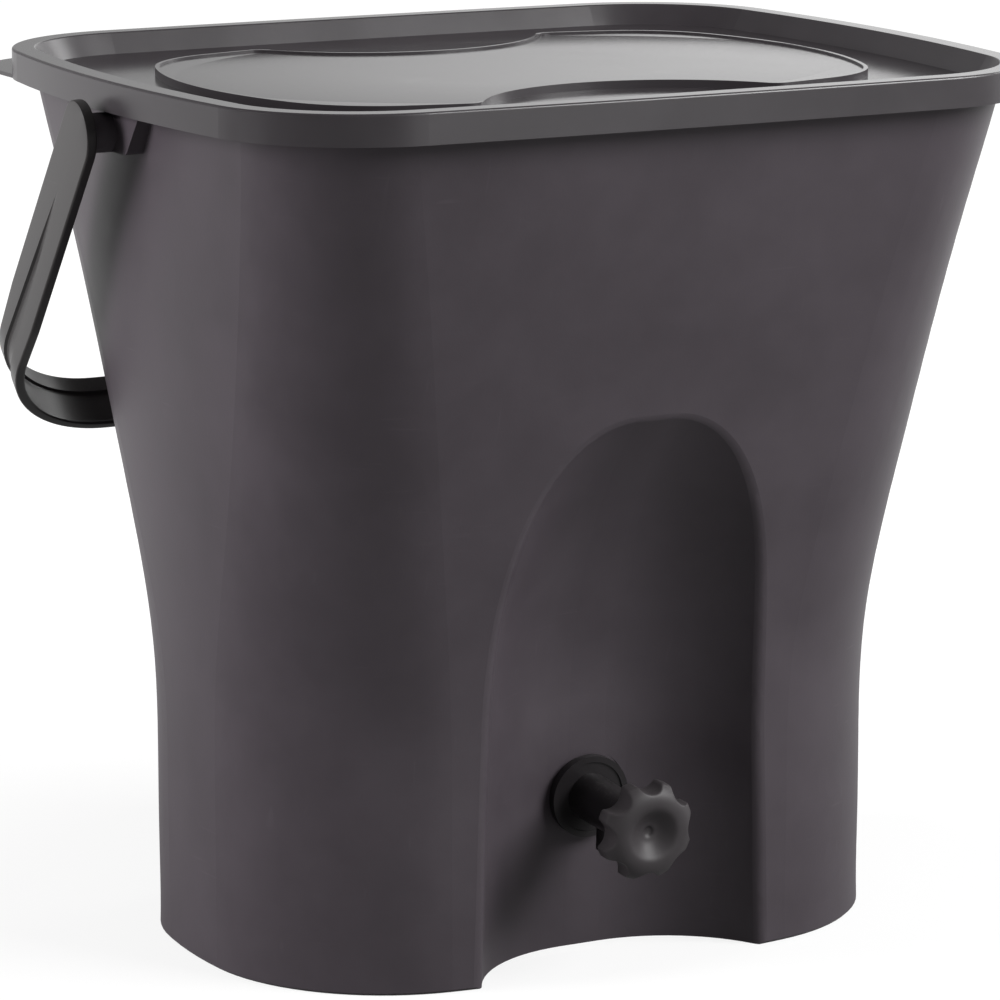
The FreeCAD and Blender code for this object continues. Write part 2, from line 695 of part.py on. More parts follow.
def make_handle():
    """The bail, drawn upright in its own frame with its pivot axis along X, then hung back against the wall."""
    body = new_body("carry_handle")
    lean, thick, deep = size.bail_lean, size.bail_thickness, size.channel_depth
    skew = sine(lean) / cosine(lean)
    bend_at = bail_reach - size.bail_corner * (1 - sine(lean))
    inner_bend = bail_side - skew * bend_at
    arc_x = inner_bend - size.bail_corner * cosine(lean)
    top = bail_reach + thick
    high = top + size.cut_margin

    def offset_bend(distance):
        """Where the corner starts on a line at a distance outside the inner face, with its radius."""
        return inner_bend + distance * cosine(lean), bend_at + distance * sine(lean), size.bail_corner + distance

    outer_bend, outer_bend_at, outer_corner = offset_bend(thick)
    inner_foot = bail_side + skew * bail_eye
    outer_foot = inner_foot + thick / cosine(lean)
    sketch = new_sketch(body, "bail_outline", "XZ_Plane")
    draw(sketch, (outer_foot, -bail_eye), (outer_bend, outer_bend_at, outer_corner, 1), (arc_x, top),
         (-arc_x, top, outer_corner, 1), (-outer_bend, outer_bend_at), (-outer_foot, -bail_eye),
         (-inner_foot, -bail_eye), (-inner_bend, bend_at, size.bail_corner, -1), (-arc_x, bail_reach),
         (arc_x, bail_reach, size.bail_corner, -1), (inner_bend, bend_at), (inner_foot, -bail_eye))
    add(body, "Pad", "bail", sketch, Length=(bail_eye + size.cut_margin) * 2, SideType="Symmetric")

    sketch = new_sketch(body, "bail_side_outline", "YZ_Plane")
    grip, wide = size.bail_grip_width / 2, size.bail_arm_width
    rectangle(sketch, -wide, -wide, wide, high + size.cut_margin)
    draw(sketch, (-bail_eye, 0, 1), (bail_eye, 0), (bail_eye, size.bail_taper_start), (grip, bend_at), (grip, high),
         (-grip, high), (-grip, bend_at), (-bail_eye, size.bail_taper_start))
    add(body, "Pocket", "bail_sides", sketch, Length=size.lid_length * 2, SideType="Symmetric")

    floor_bend, floor_bend_at, floor_corner = offset_bend(thick - deep)
    far = outer_foot + size.cut_margin
    start_x = bail_side + thick / cosine(lean) - skew * size.channel_start
    sketches = []
    for number, (inner, level, width) in enumerate((
            (start_x, size.channel_start, size.channel_start_width),
            (floor_bend, floor_bend_at, size.channel_width)), start=1):
        sketch = new_sketch(body, f"arm_channel_{number}", out=level)
        rectangle(sketch, inner, -width / 2, far, width / 2)
        sketches.append(sketch)
    arm_channel = loft(body, "SubtractiveLoft", "arm_channel", sketches, ruled=True)
    mirrored(body, "arm_channels", [arm_channel])
    sketch = new_sketch(body, "channel_outline", "XZ_Plane")
    draw(sketch, (floor_bend, floor_bend_at), (far, floor_bend_at), (far, high), (-far, high), (-far, floor_bend_at),
         (-floor_bend, floor_bend_at, floor_corner, -1), (-arc_x, top - deep), (arc_x, top - deep, floor_corner, -1))
    add(body, "Pocket", "channel", sketch, Length=size.channel_width, SideType="Symmetric")

    cut_bend, cut_bend_at, cut_corner = offset_bend(deep)
    sketch = new_sketch(body, "grip_channel_outline", "XZ_Plane", out=-size.grip_channel_offset)
    draw(sketch, (cut_bend, cut_bend_at, cut_corner, 1), (arc_x, bail_reach + deep),
         (-arc_x, bail_reach + deep, cut_corner, 1), (-cut_bend, cut_bend_at))
    add(body, "Pocket", "grip_channel", sketch, Length=size.grip_channel_width, SideType="Symmetric")

    stud_end = bail_side - size.bail_gap - size.pivot_bore_depth + size.stud_end_gap
    sketch = new_sketch(body, "stud_outline", "YZ_Plane", out=stud_end)
    circle(sketch, size.stud_diameter)
    stud = add(body, "Pad", "stud", sketch, Length=bail_side + thick / 2 - stud_end)
    mirrored(body, "studs", [stud])
    body.Placement = Placement(Vector(0, 0, pivot_level.value), Rotation(Vector(-1, 0, 0), size.bail_hang.value))
    body.setExpression("Placement.Base.z", pivot_level.text)
    body.setExpression("Placement.Rotation.Angle", size.bail_hang.text)
    return body


def make_grate():
    body = new_body("drain_grate")
    edge = size.wall + size.grate_clearance
    plate_under = size.grate_top - size.grate_thickness
    plan_pad(body, "Pad", "plate", inset(base_plan, edge), plate_under, size.grate_thickness)
    sketch = new_sketch(body, "leg_outline", out=plate_under)
    for right in (-1, 1):
        for back in (-1, 1):
            circle(sketch, size.leg_diameter, size.leg_along * right, size.leg_across * back)
    add(body, "Pad", "legs", sketch, Length=plate_under - size.floor_top, Reversed=True)
    cut_niche(body, edge)
    sketch = new_sketch(body, "slot_outline", out=size.grate_top)
    half, end = size.grate_slot_length / 2, size.grate_slot_width / 2
    left = -size.grate_pitch_along * 2
    row = -size.grate_first_row
    draw(sketch, (left - half + end, row - end), (left + half - end, row - end, 1),
         (left + half - end, row + end), (left - half + end, row + end, 1))
    slot = add(body, "Pocket", "slot", sketch, Length=size.grate_thickness)
    pattern = body.newObject("PartDesign::LinearPattern", "slots")
    pattern.Originals = [slot]
    pattern.Direction = (sketch, ["H_Axis"])
    pattern.Occurrences = 5
    pattern.setExpression("Length", (size.grate_pitch_along * 4).text)
    pattern.Direction2 = (sketch, ["V_Axis"])
    pattern.Occurrences2 = 7
    pattern.setExpression("Length2", (size.grate_pitch_across * 6).text)
    body.Tip = pattern
    return body


def place_on_tap(body):
    """Stands a piece drawn about its own Z axis on the axis of the tap, Z pointing outward."""
    body.Placement = Placement(Vector(0, -size.tap_wall.value, size.tap_height.value),
                               Rotation(Vector(1, 0, 0), 90 + size.niche_lean.value))
    body.setExpression("Placement.Base.y", (-size.tap_wall).text)
    body.setExpression("Placement.Base.z", size.tap_height.text)
    body.setExpression("Placement.Rotation.Angle", (size.niche_lean + 90).text)
    return body


inner_seat = -(size.wall + size.seat_rise)
flange_back = size.washer_thickness
flange_front = flange_back + size.flange_thickness
plug_back = size.seat_position + size.plug_seat_gap
plug_front = plug_back + size.plug_thickness
knob_back = size.barrel_end + size.knob_gap
knob_front = knob_back + size.knob_depth
spindle_end = knob_back + size.socket_depth
collar_radius = size.chamber_diameter / 2 - size.spindle_fit


def make_tap_body():
    body = new_body("tap_body")
    tail, flange, rim = size.tap_tail_diameter / 2, size.flange_diameter / 2, size.flange_rim
    inlet, chamber = size.inlet_diameter / 2, size.chamber_diameter / 2
    rim_front = flange_front + size.flange_rim_rise
    turned(body, "tap_shell", (inlet, -size.tap_tail_length), (tail, -size.tap_tail_length), (tail, flange_back),
           (flange, flange_back), (flange, rim_front), (flange - rim, rim_front), (flange - rim, flange_front),
           (size.barrel_diameter / 2, flange_front), (size.barrel_tip_diameter / 2, size.barrel_end),
           (chamber, size.barrel_end), (chamber, size.seat_position), (inlet, size.seat_position))
    sketch = new_sketch(body, "spout_outline", "XZ_Plane", rise=size.spout_position, out=chamber)
    circle(sketch, size.spout_diameter)
    add(body, "Pad", "spout", sketch, Length=size.spout_drop - chamber)
    sketch = new_sketch(body, "spout_bore_outline", "XZ_Plane", rise=size.spout_position, out=size.spout_drop)
    circle(sketch, size.spout_bore)
    add(body, "Pocket", "spout_bore_cut", sketch, Length=size.spout_drop)
    turned(body, "chamber_cut", (0, size.seat_position), (chamber, size.seat_position), (chamber, size.barrel_end),
           (0, size.barrel_end), kind="Groove")
    return place_on_tap(body)


def make_washer(name, start):
    body = new_body(name)
    bore, edge = size.tap_bore / 2, size.washer_diameter / 2
    end = start + size.washer_thickness
    turned(body, f"{name}_ring", (bore, start), (edge, start), (edge, end), (bore, end))
    return place_on_tap(body)


def make_lock_nut():
    body = new_body("tap_lock_nut")
    top = inner_seat - size.washer_thickness
    sketch = new_sketch(body, "nut_outline", out=top)
    reach = size.nut_width / root(as_size(3))
    flat = size.nut_width / 2
    draw(sketch, (reach, 0), (reach / 2, flat), (-reach / 2, flat), (-reach, 0), (-reach / 2, -flat),
         (reach / 2, -flat))
    circle(sketch, size.tap_tail_diameter + size.nut_fit)
    add(body, "Pad", "nut", sketch, Length=size.nut_thickness, Reversed=True)
    return place_on_tap(body)


def make_valve_plug():
    body = new_body("tap_valve_plug")
    edge, pin = size.plug_diameter / 2, (size.plug_pin_diameter + size.pin_fit) / 2
    pin_end = plug_front - size.plug_pin_length - size.pin_fit
    turned(body, "plug", (0, plug_back), (edge, plug_back), (edge, plug_front), (pin, plug_front), (pin, pin_end),
           (0, pin_end))
    return place_on_tap(body)


def make_spindle():
    body = new_body("tap_spindle")
    stem, pin = size.stem_diameter / 2, size.plug_pin_diameter / 2
    start = plug_front + size.plug_seat_gap
    groove = collar_radius - size.ring_section
    groove_end = size.ring_groove_start + size.ring_section + size.ring_groove_play
    turned(body, "spindle", (0, plug_front - size.plug_pin_length), (pin, plug_front - size.plug_pin_length),
           (pin, start), (stem, start), (stem, size.collar_start), (collar_radius, size.collar_start),
           (collar_radius, size.ring_groove_start), (groove, size.ring_groove_start), (groove, groove_end),
           (collar_radius, groove_end), (collar_radius, size.barrel_end), (stem, size.barrel_end),
           (stem, spindle_end), (0, spindle_end))
    return place_on_tap(body)


def make_spindle_ring():
    body = new_body("tap_spindle_ring")
    section = size.ring_section - size.spindle_fit
    outer = size.chamber_diameter / 2 - size.spindle_fit
    inner, bevel = outer - section, section / 4
    low = size.ring_groove_start + size.ring_groove_play / 2
    high = low + section
    turned(body, "spindle_ring", (inner, low + bevel), (inner + bevel, low), (outer - bevel, low), (outer, low + bevel),
           (outer, high - bevel), (outer - bevel, high), (inner + bevel, high), (inner, high - bevel))
    return place_on_tap(body)


def make_knob():
    body = new_body("tap_knob")
    edge, ring, dish = size.knob_diameter / 2, size.knob_face_ring, size.knob_dish_radius
    slope, hole = size.knob_edge_slope, size.knob_hole_radius
    hub, shell = size.knob_hub_diameter / 2, size.knob_shell
    dish_floor = knob_front - size.knob_dish_depth
    hollow = knob_back + size.knob_recess_depth
    stem = (size.stem_diameter + size.pin_fit) / 2
    turned(body, "knob_disc", (stem, knob_back), (hub, knob_back), (hub, hollow), (edge - shell * 2, hollow),
           (edge - shell * 2, knob_back), (edge - slope / 2, knob_back), (edge, knob_back + slope),
           (edge, knob_front - slope), (edge - slope * 2, knob_front - slope / 2), (ring, knob_front),
           (dish, knob_front - slope / 4), (hole * 2, dish_floor), (hole, dish_floor),
           (0, dish_floor - size.knob_hole_depth), (0, spindle_end + size.pin_fit), (stem, spindle_end + size.pin_fit))
    sketch = new_sketch(body, "scallop_outline", out=knob_front)
    circle(sketch, size.knob_scallop_radius * 2, size.knob_scallop_centre, 0)
    scallop = add(body, "Pocket", "scallop", sketch, Length=size.knob_depth)
    pattern = body.newObject("PartDesign::PolarPattern", "scallops")
    pattern.Originals = [scallop]
    pattern.Axis = (sketch, ["N_Axis"])
    pattern.Angle = 360.0
    pattern.setExpression("Occurrences", size.knob_scallops.text)
    body.Tip = pattern
    return place_on_tap(body)


make_bin()
make_lid()
make_lid_seal()
make_handle()
make_grate()
make_tap_body()
make_washer("tap_outer_washer", as_size(0))
make_washer("tap_inner_washer", inner_seat - size.washer_thickness)
make_lock_nut()
make_valve_plug()
make_spindle()
make_spindle_ring()
make_knob()
doc.recompute()

failed = [item.Name for item in doc.Objects if {"Invalid", "Error"} & set(item.State)]
if failed:
    raise RuntimeError(f"features that did not build: {failed}")

os.makedirs("parts", exist_ok=True)
for node in NODES:
    shape = doc.getObject(node).Shape
    if shape.isNull() or not shape.isValid() or not shape.Solids:
        raise RuntimeError(f"{node} has no valid solid")
    print(node, "solids", len(shape.Solids), "volume", round(shape.Volume / 1000, 2), "cm3", shape.BoundBox)
for node in NODES:
    doc.getObject(node).Shape.exportStep(f"parts/{node}.step")
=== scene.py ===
import math

import bmesh
import bpy
from mathutils import Matrix, Vector


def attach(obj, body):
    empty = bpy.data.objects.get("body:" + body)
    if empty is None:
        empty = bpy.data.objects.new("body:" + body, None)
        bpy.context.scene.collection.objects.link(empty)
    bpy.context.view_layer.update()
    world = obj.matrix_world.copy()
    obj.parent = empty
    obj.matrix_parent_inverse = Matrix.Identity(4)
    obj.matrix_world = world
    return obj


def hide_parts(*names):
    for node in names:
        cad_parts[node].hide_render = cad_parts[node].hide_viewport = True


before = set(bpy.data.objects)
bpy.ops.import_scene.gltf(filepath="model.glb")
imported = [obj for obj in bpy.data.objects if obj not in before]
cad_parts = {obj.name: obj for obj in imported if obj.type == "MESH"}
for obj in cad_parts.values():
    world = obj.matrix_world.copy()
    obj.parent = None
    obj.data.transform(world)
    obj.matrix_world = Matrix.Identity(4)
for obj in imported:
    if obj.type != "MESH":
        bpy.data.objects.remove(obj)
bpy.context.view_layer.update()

MM = 0.001

# View of the photograph
CAMERA_AZIMUTH = math.radians(-27.85)
CAMERA_ELEVATION = math.radians(11.81)
CAMERA_DISTANCE = 1.8075
CAMERA_TARGET = Vector((0.0, 0.0, 0.1562))
CAMERA_SENSOR, CAMERA_LENS = 36.0, 177.1
CAMERA_SHIFT = (-0.01115, -0.00275)
CAMERA_CLIP = 50.0


def direction(azimuth, elevation):
    """Unit vector from the object towards a viewer. Azimuth 0 is the front, positive to the right."""
    flat = math.cos(elevation)
    return Vector((math.sin(azimuth) * flat, -math.cos(azimuth) * flat, math.sin(elevation)))


def aim(thing, place, target):
    thing.location = place
    thing.rotation_euler = (target - place).to_track_quat("-Z", "Y").to_euler()


def link(thing):
    bpy.context.scene.collection.objects.link(thing)
    return thing


# Shader node helpers
MIX_FACTOR, MIX_FIRST, MIX_SECOND, MIX_RESULT = 0, 6, 7, 2


def plug(tree, socket, source):
    """Links an input to another node's output socket, or sets it to a plain value."""
    if isinstance(source, bpy.types.NodeSocket):
        tree.links.new(source, socket)
    else:
        socket.default_value = source


def add_node(tree, kind, **settings):
    """A new node with its properties set."""
    made = tree.nodes.new(kind)
    for name, value in settings.items():
        setattr(made, name, value)
    return made


def feed(tree, target, **sources):
    """Plugs inputs by plain name, with underscores for spaces."""
    for name, source in sources.items():
        plug(tree, target.inputs[name.replace("_", " ")], source)
    return target


def math_node(tree, operation, first, second=0.0, clamp=False):
    made = add_node(tree, "ShaderNodeMath", operation=operation, use_clamp=clamp)
    for socket, source in zip(made.inputs, (first, second)):
        plug(tree, socket, source)
    return made.outputs[0]


def product(tree, first, *others):
    for other in others:
        first = math_node(tree, "MULTIPLY", first, other)
    return first


def ranged(tree, value, low, high, to_low=0.0, to_high=1.0):
    """A value carried from low...high to to_low...to_high and held at both ends."""
    made = add_node(tree, "ShaderNodeMapRange", clamp=True)
    feed(tree, made, Value=value, From_Min=low, From_Max=high, To_Min=to_low, To_Max=to_high)
    return made.outputs["Result"]


def noise(tree, vector, scale, detail=2.0, roughness=0.5):
    made = add_node(tree, "ShaderNodeTexNoise")
    feed(tree, made, Vector=vector, Scale=scale, Detail=detail, Roughness=roughness)
    return made.outputs["Fac"]


def stretched(tree, vector, scale):
    made = add_node(tree, "ShaderNodeMapping")
    feed(tree, made, Vector=vector, Scale=scale)
    return made.outputs["Vector"]


def split(tree, vector):
    return feed(tree, add_node(tree, "ShaderNodeSeparateXYZ"), Vector=vector).outputs


def upward(tree):
    """How far a face looks up, from -1 to 1."""
    return split(tree, add_node(tree, "ShaderNodeNewGeometry").outputs["Normal"])["Z"]


def mixed(tree, factor, first, second):
    made = add_node(tree, "ShaderNodeMix", data_type="RGBA")
    for at, source in ((MIX_FACTOR, factor), (MIX_FIRST, first), (MIX_SECOND, second)):
        plug(tree, made.inputs[at], source)
    return made.outputs[MIX_RESULT]


def blended(tree, factor, first, second):
    """The surface of two shader nodes mixed by a factor."""
    made = add_node(tree, "ShaderNodeMixShader")
    for socket, source in zip(made.inputs, (factor, first.outputs[0], second.outputs[0])):
        plug(tree, socket, source)
    return made.outputs[0]


def new_group(name, inputs, outputs):
    """An empty shader group with a Vector input, float inputs (name, default) and float outputs."""
    group = bpy.data.node_groups.new(name, "ShaderNodeTree")
    sockets = group.interface
    sockets.new_socket("Vector", in_out="INPUT", socket_type="NodeSocketVector")
    for socket_name, value in inputs:
        socket = sockets.new_socket(socket_name, in_out="INPUT", socket_type="NodeSocketFloat")
        socket.default_value = value
    for socket_name in outputs:
        sockets.new_socket(socket_name, in_out="OUTPUT", socket_type="NodeSocketFloat")
    entry = group.nodes.new("NodeGroupInput").outputs
    leave = group.nodes.new("NodeGroupOutput").inputs
    return group, entry, leave


def use_group(tree, group, vector, **values):
    made = add_node(tree, "ShaderNodeGroup", node_tree=group)
    return feed(tree, made, Vector=vector, **values).outputs


# Patterns of a moulded surface. Pairs are the levels at which a pattern starts and is full.
COARSE_GRAIN_SCALE, FINE_SHARE, COARSE_SHARE = 0.37, 0.6, 0.4
CLOUD_DETAIL, CLOUD_ROUGHNESS = 4.0, 0.6
RUB_STRETCHES = ((14.0, 1.0, 1.6), (1.3, 1.0, 16.0))
RUB_LINES = (0.70, 0.78)
RUB_PATCH_SCALE, RUB_PATCHES = 18.0, (0.45, 0.7)
DUST_UPWARD = (0.55, 0.98)
DUST_SPECK_SCALE, DUST_SPECKS = 900.0, (0.52, 0.74)
DUST_PATCH_SCALE, DUST_PATCHES, DUST_LEAST = 26.0, (0.3, 0.75), 0.25
PANEL_HALF_LENGTH, PANEL_HALF_DEPTH = 0.1255, 0.095
SAG_EDGE = (0.45, 1.0)
SAG_WAVE_SCALE, SAG_WAVE = 16.0, 0.0001


def moulded_grain_group():
    """The fine spark-eroded grain of a mould: a height and a cloudy tone."""
    group, entry, leave = new_group("moulded_grain", [("Grain Size", 0.0006), ("Cloud Size", 0.05)],
                                    ["Height", "Cloud"])
    place = entry["Vector"]
    per_grain = math_node(group, "DIVIDE", 1.0, entry["Grain Size"])
    fine = noise(group, place, per_grain, detail=1.0)
    coarse = noise(group, place, product(group, per_grain, COARSE_GRAIN_SCALE))
    height = math_node(group, "ADD", product(group, fine, FINE_SHARE),
                       product(group, coarse, COARSE_SHARE))
    group.links.new(height, leave["Height"])
    per_cloud = math_node(group, "DIVIDE", 1.0, entry["Cloud Size"])
    cloud = noise(group, place, per_cloud, detail=CLOUD_DETAIL, roughness=CLOUD_ROUGHNESS)
    group.links.new(cloud, leave["Cloud"])
    return group


def rub_marks_group():
    """Thin scratches and rubbed spots left by hands and a cloth, as a mask."""
    group, entry, leave = new_group("rub_marks", [("Amount", 0.5), ("Length", 0.03)], ["Mask"])
    place = entry["Vector"]
    per_length = math_node(group, "DIVIDE", 1.0, entry["Length"])
    masks = []
    for scale in RUB_STRETCHES:
        lines = noise(group, stretched(group, place, scale), per_length, detail=1.0)
        masks.append(ranged(group, lines, *RUB_LINES))
    patches = ranged(group, noise(group, place, RUB_PATCH_SCALE), *RUB_PATCHES)
    both = math_node(group, "MAXIMUM", *masks)
    group.links.new(product(group, both, patches, entry["Amount"]), leave["Mask"])
    return group


def settled_dust_group():
    """Dust that settles on faces that look up, broken up by noise, as a mask."""
    group, entry, leave = new_group("settled_dust", [("Amount", 0.3)], ["Mask"])
    place = entry["Vector"]
    level = ranged(group, upward(group), *DUST_UPWARD)
    specks = ranged(group, noise(group, place, DUST_SPECK_SCALE), *DUST_SPECKS)
    patches = ranged(group, noise(group, place, DUST_PATCH_SCALE, detail=3.0), *DUST_PATCHES,
                     DUST_LEAST, 1.0)
    group.links.new(product(group, level, specks, patches, entry["Amount"]), leave["Mask"])
    return group


def moulded_sag_group():
    """How a thin moulded panel falls towards its edges and waves a little, as a height in metres."""
    inputs = [("Half Length", PANEL_HALF_LENGTH), ("Half Depth", PANEL_HALF_DEPTH), ("Sag", 0.001),
              ("Wave", SAG_WAVE)]
    group, entry, leave = new_group("moulded_sag", inputs, ["Height"])
    shares = split(group, entry["Vector"])
    along = math_node(group, "DIVIDE", shares["X"], entry["Half Length"])
    across = math_node(group, "DIVIDE", shares["Y"], entry["Half Depth"])
    square = math_node(group, "ADD", product(group, along, along), product(group, across, across))
    edge = ranged(group, math_node(group, "SQRT", square), *SAG_EDGE)
    fall = product(group, edge, edge, entry["Sag"])
    ripple = noise(group, entry["Vector"], SAG_WAVE_SCALE, detail=1.0)
    waves = product(group, ripple, entry["Wave"])
    group.links.new(math_node(group, "SUBTRACT", waves, fall), leave["Height"])
    return group


GRAIN = moulded_grain_group()
RUBS = rub_marks_group()
DUST = settled_dust_group()
SAG = moulded_sag_group()

# How the patterns show in a finish
CLOUD_SIZE, CLOUD_TONES, CLOUD_GLOSS, GLOSS_SPREAD = 0.045, (0.3, 0.7), (0.25, 0.75), 0.08
RUB_AMOUNT, RUB_LENGTH, RUB_TONE, RUB_POLISH = 0.4, 0.028, 0.35, 0.3
WORN_GAIN, WORN_LIFT = 1.7, 0.012
DUST_AMOUNT, DUST_TONE, DUST_ROUGHNESS = 0.2, 0.5, 0.3
DUST_COLOUR = (0.30, 0.29, 0.27, 1)
POLISHED_UPWARD = (0.6, 0.95)


def moulded_plastic(name, dark, light, gloss, grain_size, grain_height, specular=0.5, sag=0.0,
                    top_gloss=None):
    """A moulded plastic: tone between dark and light, roughness about gloss, grain, rub marks, dust and sag.

    Faces that look up are polished to the roughness top_gloss where one is given.
    """
    material = bpy.data.materials.new(name)
    material.use_nodes = True
    tree = material.node_tree
    shader = tree.nodes["Principled BSDF"]
    place = add_node(tree, "ShaderNodeTexCoord").outputs["Object"]
    grain = use_group(tree, GRAIN, place, Grain_Size=grain_size, Cloud_Size=CLOUD_SIZE)
    rubs = use_group(tree, RUBS, place, Amount=RUB_AMOUNT, Length=RUB_LENGTH)["Mask"]
    settled = use_group(tree, DUST, place, Amount=DUST_AMOUNT)["Mask"]

    tone = mixed(tree, ranged(tree, grain["Cloud"], *CLOUD_TONES), (*dark, 1), (*light, 1))
    worn = tuple(min(channel * WORN_GAIN + WORN_LIFT, 1) for channel in light)
    tone = mixed(tree, product(tree, rubs, RUB_TONE), tone, (*worn, 1))
    tone = mixed(tree, product(tree, settled, DUST_TONE), tone, DUST_COLOUR)

    rough = ranged(tree, grain["Cloud"], *CLOUD_GLOSS, gloss * (1 - GLOSS_SPREAD),
                   gloss * (1 + GLOSS_SPREAD))
    if top_gloss:
        polish = ranged(tree, upward(tree), *POLISHED_UPWARD, 1.0, top_gloss / gloss)
        rough = product(tree, rough, polish)
    rough = math_node(tree, "SUBTRACT", rough, product(tree, rubs, gloss * RUB_POLISH))
    rough = math_node(tree, "ADD", rough, product(tree, settled, DUST_ROUGHNESS), clamp=True)

    bump = add_node(tree, "ShaderNodeBump")
    feed(tree, bump, Strength=1.0, Distance=grain_height, Height=grain["Height"])
    if sag:
        sheet = add_node(tree, "ShaderNodeBump")
        fall = use_group(tree, SAG, place, Sag=sag)["Height"]
        feed(tree, sheet, Strength=1.0, Distance=1.0, Height=fall)
        feed(tree, bump, Normal=sheet.outputs["Normal"])
    feed(tree, shader, Base_Color=tone, Roughness=rough, Normal=bump.outputs["Normal"])
    shader.inputs["Specular IOR Level"].default_value = specular
    return material


SATIN_CHARCOAL = moulded_plastic(
    "satin_charcoal", (0.041, 0.0342, 0.0402), (0.053, 0.0446, 0.0522), gloss=0.45,
    grain_size=0.0007, grain_height=0.00003, specular=0.3)
BLACK_LID = moulded_plastic(
    "black_lid", (0.026, 0.0228, 0.0255), (0.034, 0.030, 0.0335), gloss=0.32,
    grain_size=0.0008, grain_height=0.000008, sag=0.0011, top_gloss=0.13)
BLACK_BAIL = moulded_plastic(
    "black_bail", (0.0175, 0.0156, 0.0160), (0.026, 0.0232, 0.0238), gloss=0.34,
    grain_size=0.0008, grain_height=0.000015, specular=0.3)
BLACK_TAP = moulded_plastic(
    "black_tap", (0.009, 0.0079, 0.0087), (0.014, 0.0124, 0.0136), gloss=0.32,
    grain_size=0.0009, grain_height=0.00001, specular=0.28)
BLACK_KNOB = moulded_plastic(
    "black_knob", (0.025, 0.0222, 0.0240), (0.036, 0.0321, 0.0346), gloss=0.48,
    grain_size=0.0009, grain_height=0.00001, specular=0.28)
SOFT_RUBBER = moulded_plastic(
    "soft_rubber", (0.012, 0.0115, 0.012), (0.019, 0.0185, 0.019), gloss=0.72,
    grain_size=0.0005, grain_height=0.00004, specular=0.3)

FINISHES = {
    "bin_body": SATIN_CHARCOAL,
    "drain_grate": SATIN_CHARCOAL,
    "lid": BLACK_LID,
    "carry_handle": BLACK_BAIL,
    "tap_body": BLACK_TAP,
    "tap_lock_nut": BLACK_TAP,
    "tap_spindle": BLACK_TAP,
    "tap_knob": BLACK_KNOB,
    "lid_seal": SOFT_RUBBER,
    "tap_outer_washer": SOFT_RUBBER,
    "tap_inner_washer": SOFT_RUBBER,
    "tap_valve_plug": SOFT_RUBBER,
    "tap_spindle_ring": SOFT_RUBBER,
}
for node_name, finish in FINISHES.items():
    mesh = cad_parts[node_name].data
    mesh.materials.clear()
    mesh.materials.append(finish)


# Pieces made here in place of plainer solids, in millimetres until they become meshes
MERGE_DISTANCE = 1e-7
SOFT_CREASE, BAIL_CREASE = 38.0, 14.0


def finish_mesh(mesh):
    """Merges doubled points, turns the faces of a closed mesh outward and shades it smooth."""
    shape = bmesh.new()
    shape.from_mesh(mesh)
    bmesh.ops.remove_doubles(shape, verts=shape.verts, dist=MERGE_DISTANCE)
    bmesh.ops.recalc_face_normals(shape, faces=shape.faces)
    shape.to_mesh(mesh)
    shape.free()
    mesh.shade_smooth()


def smooth_piece(name, points, faces, material, crease=SOFT_CREASE):
    """A closed mesh at the origin, smooth up to the crease angle in degrees."""
    mesh = bpy.data.meshes.new(name)
    mesh.from_pydata([Vector(point) * MM for point in points], [], faces)
    finish_mesh(mesh)
    mesh.set_sharp_from_angle(angle=math.radians(crease))
    mesh.materials.append(material)
    return link(bpy.data.objects.new(name, mesh))


def skinned(rings, capped=True):
    """Points and faces of a skin over rings of equally many points, with its two ends capped."""
    count = len(rings[0])
    points = [point for ring in rings for point in ring]
    faces = []
    for start in range(0, len(points) - count, count):
        for at in range(count):
            after = (at + 1) % count
            faces.append((start + at, start + after, start + count + after, start + count + at))
    if capped:
        faces += [tuple(range(count)), tuple(range(len(points) - count, len(points)))]
    return points, faces


def joined(*skins):
    points, faces = [], []
    for more_points, more_faces in skins:
        start = len(points)
        points += more_points
        faces += [tuple(start + corner for corner in face) for face in more_faces]
    return points, faces


def spread(first, last, steps):
    return [first + (last - first) * step / steps for step in range(steps + 1)]


def ramp(value, low, high):
    return min(max((value - low) / (high - low), 0.0), 1.0)


# Bail: a grooved strap swept from one eye round the crosspiece to the other
PIVOT_LEVEL = 301.0
BAIL_HANG = math.radians(135.8)
BAIL_LEAN = math.radians(3.9)
BAIL_SIDE, BAIL_REACH, BAIL_CORNER = 166.7, 163.5, 44.0
BAIL_THICKNESS, BAIL_EDGE = 3.6, 0.8
ARM_HALF, GRIP_HALF, TAPER_START = 12.0, 10.8, 100.0
BEND_AT = BAIL_REACH - BAIL_CORNER * (1 - math.sin(BAIL_LEAN))
TIP_ANGLES = (3, 9, 16, 24, 33, 43, 54, 66, 78)
ARM_STEPS, CORNER_STEPS, BAR_STEPS, EDGE_STEPS = 44, 26, 20, 8
# Grooves of the strap. A wall is its rim, foot and floor, each off the groove's nominal edge.
GROOVE_DEPTH, FOOT_SHARE, GROOVE_SHOULDER = 1.2, 0.85, 0.15
ARM_GROOVE_START, ARM_GROOVE_SUNK = 34.0, 72.0
ARM_GROOVE_SLIT, ARM_GROOVE_HALF = 0.4, 4.0
ARM_GROOVE_WALL, FULL_WALL_HALF = (0.25, -0.35, -0.9), 1.5
GRIP_GROOVE_SIDES, GRIP_GROOVE_RUN = (-4.0, 9.6), 22.0
GRIP_GROOVE_WALL = (0.2, -0.4, -1.0)
STUD_RADIUS, STUD_END, STUD_BEVEL, STUD_STEPS = 4.8, 156.2, 0.5, 40


